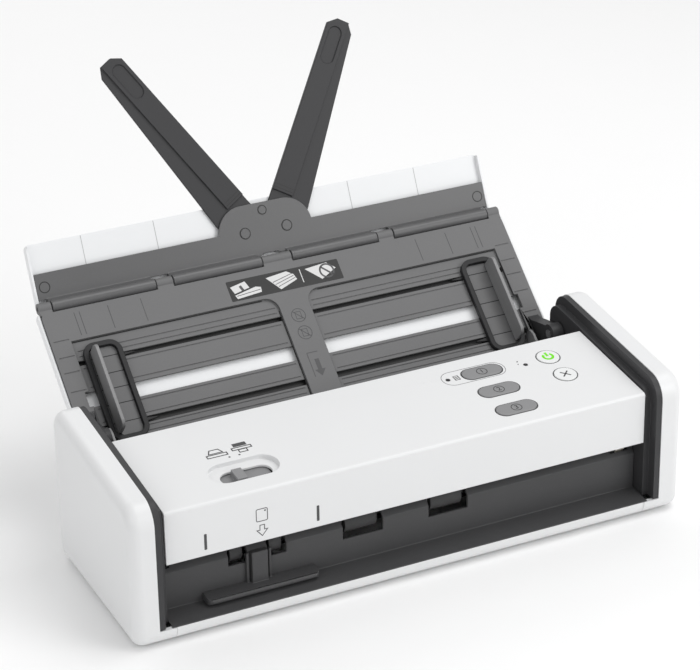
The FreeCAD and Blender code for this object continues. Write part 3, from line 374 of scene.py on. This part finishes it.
def ring(shape, corners, low, high, width, rounding=0.0, steps=6):
    face = flat(shape, corners, low, rounding, steps)
    inner = bmesh.ops.inset_region(shape, faces=[face], thickness=width, use_even_offset=True, use_boundary=True)
    bmesh.ops.delete(shape, geom=[face], context="FACES_ONLY")
    pullUp(shape, inner["faces"], high - low)
    return shape


def disc(shape, at, radius, low, high, turns=32):
    bmesh.ops.create_cone(shape, cap_ends=True, segments=turns, radius1=radius, radius2=radius, depth=high - low,
                          matrix=Matrix.Translation((at[0], at[1], (low + high) / 2)))
    return shape


def hoop(shape, at, radius, width, low, high, turns=36, sweep=360.0, start=0.0):
    full = abs(sweep - 360) < 0.01
    inside = radius - width
    seed = [shape.verts.new((at[0] + r, at[1], z))
            for r, z in ((inside, low), (radius, low), (radius, high), (inside, high))]
    edges = [shape.edges.new((seed[i], seed[(i + 1) % 4])) for i in range(4)]
    bmesh.ops.rotate(shape, cent=(at[0], at[1], 0), matrix=Matrix.Rotation(math.radians(start), 3, "Z"), verts=seed)
    spun = bmesh.ops.spin(shape, geom=seed + edges, cent=(at[0], at[1], 0), axis=(0, 0, 1),
                          angle=math.radians(sweep), steps=turns, use_merge=full)
    if not full:
        shape.faces.new(seed)
        shape.faces.new([v for v in spun["geom_last"] if isinstance(v, bmesh.types.BMVert)])
    return shape


def bar(shape, start, end, width, low, high):
    way = (Vector(end) - Vector(start)).normalized() * width / 2
    side = Vector((-way.y, way.x))
    a, b = Vector(start), Vector(end)
    return plate(shape, [a - side, b - side, b + side, a + side], low, high)


def words(name, text, size, at, low, high, place, body, paint, slot):
    curve = bpy.data.curves.new(name, "FONT")
    curve.body, curve.size, curve.extrude = text, size, (high - low) / 2
    curve.align_x, curve.align_y = "CENTER", "CENTER"
    drawn = bpy.data.objects.new(name, curve)
    scene.collection.objects.link(drawn)
    bpy.context.view_layer.update()
    mesh = bpy.data.meshes.new_from_object(drawn)
    bpy.data.objects.remove(drawn)
    shape = bmesh.new()
    shape.from_mesh(mesh)
    bmesh.ops.translate(shape, vec=(at[0], at[1], (low + high) / 2), verts=shape.verts[:])
    return piece(name, shape, place, body, paint, slot)


# The case and the moving mouldings
skins = {
    "right_side_cover": ("caseWhite", 0.0), "left_side_cover": ("caseWhite", 0.0),
    "right_frame": ("caseDark", 0.2), "left_frame": ("caseDark", 0.2),
    "bottom_cover": ("caseWhite", 0.25), "rubber_feet": ("footBlack", 0.3), "rear_cover": ("caseWhite", 0.3),
    "exit_recess": ("recessDark", 0.3), "card_rest": ("recessDark", 0.35),
    "front_cover": ("caseWhite", 0.3), "exit_selector": ("keyGrey", 0.25),
    "first_scan_button": ("keyGrey", 0.35), "second_scan_button": ("keyGrey", 0.35),
    "third_scan_button": ("keyGrey", 0.35), "power_button": ("keyWhite", 0.35), "cancel_button": ("keyWhite", 0.35),
    "tray_panel": ("trayGrey", 0.2), "lid_shell": ("flapWhite", 0.3),
    "right_guide": ("guideGrey", 0.3), "left_guide": ("guideGrey", 0.3),
    "right_guide_plate": ("finGrey", 0.25), "left_guide_plate": ("finGrey", 0.25),
    "flap_frame": ("flapDark", 0.25), "flap_shell": ("flapWhite", 0.3),
    "right_arm": ("armDark", 0.3), "left_arm": ("armDark", 0.3),
}
made = {node: finished(node, paint, width) for node, (paint, width) in skins.items()}
# Painted shade: the ears at the foot of the tray take the darker case paint, standing in for the shade on them
earShade = {"from": 123.5, "foot": 14.6, "web": 18.2, "over": -14.2}
panel = made["tray_panel"].data
panel.materials.append(paints["caseDark"])
home = lidPlace.inverted()
for face in panel.polygons:
    spot = home @ face.center
    onWeb = spot.y < earShade["web"] and spot.z > earShade["over"]
    if abs(spot.x) > earShade["from"] and (spot.y < earShade["foot"] or onWeb):
        face.material_index = 1
print("mouldings finished:", len(skins))

# Keys on the front cover
sink = 0.02  # how far a printed mark reaches into its surface
keys = {"top": 0.4, "print": 0.05, "pillX": 64.4, "pillU": 14.3, "pillStep": 18.2, "roundX": 102.4,
        "powerU": 49.8, "cancelU": 31.8, "numeral": 4.4, "circle": 2.9, "circleLine": 0.35,
        "power": 3.2, "powerLine": 1.35, "stem": (0.3, 3.8), "cross": 2.1, "crossLine": 0.75}
onKey = (keys["top"] - sink, keys["top"] + keys["print"])
onCover = (-sink, keys["print"])
for i, (which, body) in enumerate((("third", "key_three"), ("second", "key_two"), ("first", "key_one"))):
    at = (keys["pillX"], keys["pillU"] + i * keys["pillStep"])
    words(f"{which}_numeral", str(3 - i), keys["numeral"], at, *onKey, coverPlace, body, "inkBlack", "key_grey")
    circle = hoop(bmesh.new(), at, keys["circle"], keys["circleLine"], *onKey)
    piece(f"{which}_numeral_ring", circle, coverPlace, body, "inkBlack", "key_grey")

x, u, (low, high) = keys["roundX"], keys["powerU"], keys["stem"]
glow = hoop(bmesh.new(), (x, u), keys["power"], keys["powerLine"], *onKey, turns=30, sweep=280.0, start=130.0)
bar(glow, (x, u + low), (x, u + high), keys["powerLine"], *onKey)
piece("power_mark", glow, coverPlace, "key_power", "glow", "white_key")
u, reach = keys["cancelU"], keys["cross"]
cross = bar(bmesh.new(), (x - reach, u - reach), (x + reach, u + reach), keys["crossLine"], *onKey)
bar(cross, (x - reach, u + reach), (x + reach, u - reach), keys["crossLine"], *onKey)
piece("cancel_mark", cross, coverPlace, "key_cancel", "inkDark", "white_key")

# Painted shade: dark lines round the keys stand in for the shade in the gaps
gapShadeLines = {"round": 6.5, "roundLine": 0.3, "pillHalf": (11.65, 5.35), "pillLine": 0.35, "pillRound": 5.3}
gapShade, (wide, tall) = bmesh.new(), gapShadeLines["pillHalf"]
for u in (keys["powerU"], keys["cancelU"]):
    hoop(gapShade, (keys["roundX"], u), gapShadeLines["round"], gapShadeLines["roundLine"], -sink, sink, turns=48)
for i in range(3):
    x, u = keys["pillX"], keys["pillU"] + i * keys["pillStep"]
    ring(gapShade, rectangle((x - wide, x + wide), (u - tall, u + tall)), -sink, sink, gapShadeLines["pillLine"],
         gapShadeLines["pillRound"], 8)
piece("key_gap_shade", gapShade, coverPlace, "cover", "inkDark", "white_case")

# Marks printed beside the keys and the selector
lamp = {"outline": ((41.8, 77.4), (44.4, 57.0)), "outlineRound": 6.0, "line": 0.35,
        "page": ((48.4, 51.4), (48.6, 52.6)), "pageLine": 0.4,
        "lines": (((49.0, 51.2), (50.8, 51.2), 0.4), ((49.0, 50.0), (50.8, 50.0), 0.4),
                  ((85.2, 51.6), (86.0, 52.4), 0.5), ((84.6, 49.4), (85.2, 49.9), 0.5))}
outline = ring(bmesh.new(), rectangle(*lamp["outline"]), *onCover, lamp["line"], lamp["outlineRound"], 8)
piece("scan_outline", outline, coverPlace, "cover", "inkGrey", "white_case")
notes = ring(bmesh.new(), rectangle(*lamp["page"]), *onCover, lamp["pageLine"])
for start, end, width in lamp["lines"]:
    bar(notes, start, end, width, *onCover)
piece("lamp_marks", notes, coverPlace, "cover", "inkBlack", "white_case")

exits = {"dots": ((-83.6, 31.0), (-78.4, 31.0)), "dot": 0.55,
         "lid": [(-92.6, 36.2), (-84.4, 36.2), (-86.0, 39.8), (-91.0, 39.8)],
         "tray": rectangle((-94.0, -83.0), (33.2, 35.9)), "stack": rectangle((-78.6, -71.6), (37.8, 40.6)),
         "body": rectangle((-80.4, -69.8), (34.9, 37.4)), "slot": rectangle((-77.6, -72.8), (32.4, 35.3))}
paths = bmesh.new()
for at in exits["dots"]:
    disc(paths, at, exits["dot"], *onCover, 16)
plate(paths, exits["stack"], *onCover)
for name, width in (("lid", 0.6), ("tray", 0.62), ("body", 0.62), ("slot", 0.6)):
    ring(paths, exits[name], *onCover, width)
piece("exit_path_marks", paths, coverPlace, "cover", "inkDark", "white_case")

card = {"edges": (-110.2, -51.7), "edgeHalf": 0.7, "edgeSpan": (43.9, 52.4), "line": 0.4,
        "page": ((-84.1, -77.9), (51.6, 58.6)), "pageRound": 0.9, "dotAt": (-79.3, 57.2), "dot": 0.45,
        "arrow": [(-82.4, 49.8), (-82.4, 47.2), (-84.2, 47.2), (-81.0, 43.4), (-77.8, 47.2), (-79.6, 47.2),
                  (-79.6, 49.8)]}
cardShape, half = bmesh.new(), card["edgeHalf"]
for x in card["edges"]:
    plate(cardShape, rectangle((x - half, x + half), card["edgeSpan"]), *onCover, 0.3, 2)
ring(cardShape, rectangle(*card["page"]), *onCover, card["line"], card["pageRound"], 3)
disc(cardShape, card["dotAt"], card["dot"], *onCover, 12)
ring(cardShape, card["arrow"], *onCover, card["line"])
piece("card_marks", cardShape, frontPlace, "cover", "inkDark", "white_case")
print("marks on the front cover made")

# Marks on the tray
tray = {"face": -14.4, "marks": (79.0, 97.0, 112.4, 115.2), "low": 62.5, "high": 75.5, "line": 0.4, "print": 0.04}
level = tray["face"]
onTray = (level - sink, level + tray["print"])
ticks = bmesh.new()
for x in tray["marks"]:
    for side in (1, -1):
        bar(ticks, (side * x, tray["low"]), (side * x, tray["high"]), tray["line"], *onTray)
piece("width_marks", ticks, lidPlace, "lid", "inkDark", "tray_grey")

label = {"box": ((-32.0, 32.0), (62.4, 74.0)), "thick": 0.08, "picture": 0.14, "stroke": 0.03,
         "divider": ((9.6, 64.8), (9.6, 72.6), 0.45), "page": 0.35, "sign": (24.2, 68.6), "signRadius": 4.3,
         "bars": (((21.3, 71.5), (27.1, 65.7), 1.0), ((-25.2, 70.4), (-24.2, 67.6), 1.5),
                  ((-28.6, 65.0), (-14.8, 66.2), 0.35))}
sheets = {
    "scanner": [(-29.4, 65.6), (-28.6, 63.4), (-14.6, 64.6), (-14.2, 67.4), (-17.0, 68.2)],
    "sheet": [(-30.6, 70.6), (-29.2, 66.6), (-20.4, 68.4), (-21.8, 72.4)],
    "stack": [(-10.0, 71.6), (-3.8, 63.6), (6.6, 67.4), (5.6, 70.6), (2.2, 73.0)],
    "bundle": [(12.6, 72.0), (20.2, 64.4), (29.6, 69.2), (25.4, 73.2)],
}
backing = plate(bmesh.new(), rectangle(*label["box"]), level - sink, level + label["thick"], 0.6, 3)
piece("guide_label", backing, lidPlace, "lid", "inkBlack", "tray_grey")
top = level + label["picture"]
onLabel = (level + label["thick"] - sink, top)
pictures = bmesh.new()
for corners in sheets.values():
    plate(pictures, corners, *onLabel)
bar(pictures, *label["divider"], *onLabel)
piece("guide_label_pictures", pictures, lidPlace, "lid", "inkLight", "tray_grey")

onPicture = (top - sink, top + label["stroke"])
strokes = bmesh.new()
for i in range(3):
    start, end = (-4.6 - i * 1.2, 65.4 + i * 1.5), (6.0 - i * 0.6, 68.6 + i * 1.3)
    bar(strokes, start, end, label["page"], *onPicture)
hoop(strokes, label["sign"], label["signRadius"], 1.0, *onPicture)
for start, end, width in label["bars"]:
    bar(strokes, start, end, width, *onPicture)
piece("guide_label_strokes", strokes, lidPlace, "lid", "inkDark", "tray_grey")

# Dark strips at the edges of the recesses
recess = {"floor": -1.5, "thick": 0.06,
          "beside": ((8.52, 9.1), (-6.0, 52.6)), "above": ((16.0, 121.0), (59.7, 60.35))}
onFloor = (level + recess["floor"] - sink, level + recess["floor"] + recess["thick"])
shadows = bmesh.new()
for side in (1, -1):
    for across, along in (recess["beside"], recess["above"]):
        plate(shadows, rectangle(sorted(side * x for x in across), along), *onFloor)
piece("recess_shadow_lines", shadows, lidPlace, "lid", "inkBlack", "tray_grey")

# Signs on the rib
signs = {"at": (47.4, 37.2), "radius": 4.0, "line": 0.45, "page": (1.7, 2.2), "pageLine": 0.35, "slash": 2.7,
         "corner": ((-3.4, 12.0), (-3.4, 25.6), (2.6, 25.6)),
         "arrow": [(-0.6, 21.6), (-0.6, 15.6), (-2.4, 15.6), (0.6, 11.8), (3.6, 15.6), (1.8, 15.6), (1.8, 21.6)]}
drawn, (wide, tall), slash = bmesh.new(), signs["page"], signs["slash"]
for s in signs["at"]:
    hoop(drawn, (0, s), signs["radius"], signs["line"], *onTray)
    bar(drawn, (-slash, s + slash), (slash, s - slash), signs["line"], *onTray)
    ring(drawn, rectangle((-wide, wide), (s - tall, s + tall)), *onTray, signs["pageLine"])
foot, corner, end = signs["corner"]
bar(drawn, corner, foot, signs["line"], *onTray)
bar(drawn, corner, end, signs["line"], *onTray)
plate(drawn, signs["arrow"], *onTray)
piece("tray_signs", drawn, lidPlace, "lid", "inkDark", "tray_grey")
print("marks on the tray made")

# Black plates under the slots as painted shade inside them, and a stepped floor in each paper guide
slots = {"across": (8.0, 122.0), "along": ((8.6, 15.4), (46.2, 52.0)), "low": -4.22, "high": -4.02}
slotShade = bmesh.new()
for along in slots["along"]:
    for side in (1, -1):
        across = sorted(side * x for x in slots["across"])
        plate(slotShade, rectangle(across, along), level + slots["low"], level + slots["high"])
piece("slot_shade_plates", slotShade, lidPlace, "lid", "inkBlack", "dark_case")

guide = {"across": (100.2, 115.1), "floor": -0.9, "thick": 0.09, "gap": 0.25,
         "steps": (4.8, 12.2, 22.4, 31.0, 39.4, 48.6, 54.0)}
onPlate = (level + guide["floor"] - sink, level + guide["floor"] + guide["thick"])
for side, name in ((1, "right"), (-1, "left")):
    across = sorted(side * x for x in guide["across"])
    floorPlates = bmesh.new()
    for start, end in zip(guide["steps"], guide["steps"][1:]):
        plate(floorPlates, rectangle(across, (start + guide["gap"], end - guide["gap"])), *onPlate)
    piece(f"{name}_guide_floor", floorPlates, lidPlace, f"guide_{name}", "trayGrey", "tray_grey")

# Flap details
flap = {"strip": -4.5, "print": 0.05, "ends": (124.8, 10.3), "middle": (0, 26.7),
        "endRing": (3.0, 0.5), "pivotRing": (3.1, 0.4), "middleRing": (2.6, 0.4),
        "pivot": 2.6, "pivotTall": 0.35, "cap": 2.1, "capTall": 0.25,
        "seams": (-99.8, -59.7, 52.1, 91.7), "seamSpan": (17.0, 32.6), "seamLine": 0.35, "seamDepth": (2.72, 2.62)}
strip = flap["strip"]
onStrip = (strip - sink, strip + flap["print"])
endX, endV = flap["ends"]
rings, pivots = bmesh.new(), bmesh.new()
for side in (1, -1):
    hoop(rings, (side * endX, endV), *flap["endRing"], *onStrip)
    hoop(rings, (side * pivotX, pivotV), *flap["pivotRing"], *onStrip)
    disc(pivots, (side * pivotX, pivotV), flap["pivot"], strip - sink, strip + flap["pivotTall"])
hoop(rings, flap["middle"], *flap["middleRing"], *onStrip)
disc(pivots, flap["middle"], flap["cap"], strip - sink, strip + flap["capTall"])
piece("flap_rings", rings, flapPlace, "flap", "inkBlack", "dark_case")
piece("flap_pivots", pivots, flapPlace, "flap", "flapDark", "dark_case", 0.15)
# Painted shade: grey bars on the white shell stand in for the shade in the seams between its panels
seams, (low, high), (deep, shallow) = bmesh.new(), flap["seamSpan"], flap["seamDepth"]
for x in flap["seams"]:
    bar(seams, (x, low), (x, high), flap["seamLine"], strip - deep, strip - shallow)
piece("flap_seam_shade", seams, flapPlace, "flap", "seamShadeGrey", "white_case")

# Lines across each arm, and a small plate beside each guide
arm = {"lines": (17.2, 19.0), "span": (2.4, 13.2), "line": 0.3, "print": 0.04}
cheekPlate = {"edge": [(-4.0, -1.0), (6.0, -1.0), (6.0, 6.5), (2.0, 8.5), (-4.0, 8.5)], "thick": 1.4, "round": 1.2,
              "x": 118.9, "s": 2.6, "under": 1.0}
for side, name in ((1, "right"), (-1, "left")):
    lines, (low, high) = bmesh.new(), arm["span"]
    for along in arm["lines"]:
        bar(lines, (side * along, low), (side * along, high), arm["line"], strip - sink, strip + arm["print"])
    piece(f"{name}_arm_lines", lines, armPlace[side], f"arm_{name}", "inkBlack", "dark_case")
    cheek = plate(bmesh.new(), cheekPlate["edge"], 0, cheekPlate["thick"], cheekPlate["round"], 4)
    for axis in "XZ":
        quarter = Matrix.Rotation(math.radians(90), 3, axis)
        bmesh.ops.rotate(cheek, cent=(0, 0, 0), matrix=quarter, verts=cheek.verts[:])
    start = cheekPlate["x"] if side > 0 else -cheekPlate["x"] - cheekPlate["thick"]
    bmesh.ops.translate(cheek, vec=(start, cheekPlate["s"], level - cheekPlate["under"]), verts=cheek.verts[:])
    piece(f"{name}_guide_cheek", cheek, lidPlace, f"guide_{name}", "finGrey", "guide_grey", 0.25)
print("flap and guides detailed")


# Floor
ground = bmesh.new()
bmesh.ops.create_circle(ground, cap_ends=True, segments=96, radius=6.0)
mesh = bpy.data.meshes.new("floor")
ground.to_mesh(mesh)
ground.free()
floor = bpy.data.objects.new("floor", mesh)
scene.collection.objects.link(floor)
mesh.materials.append(plastic("floor_paper", (0.93, 0.93, 0.93), 0.8, drift=0.004))
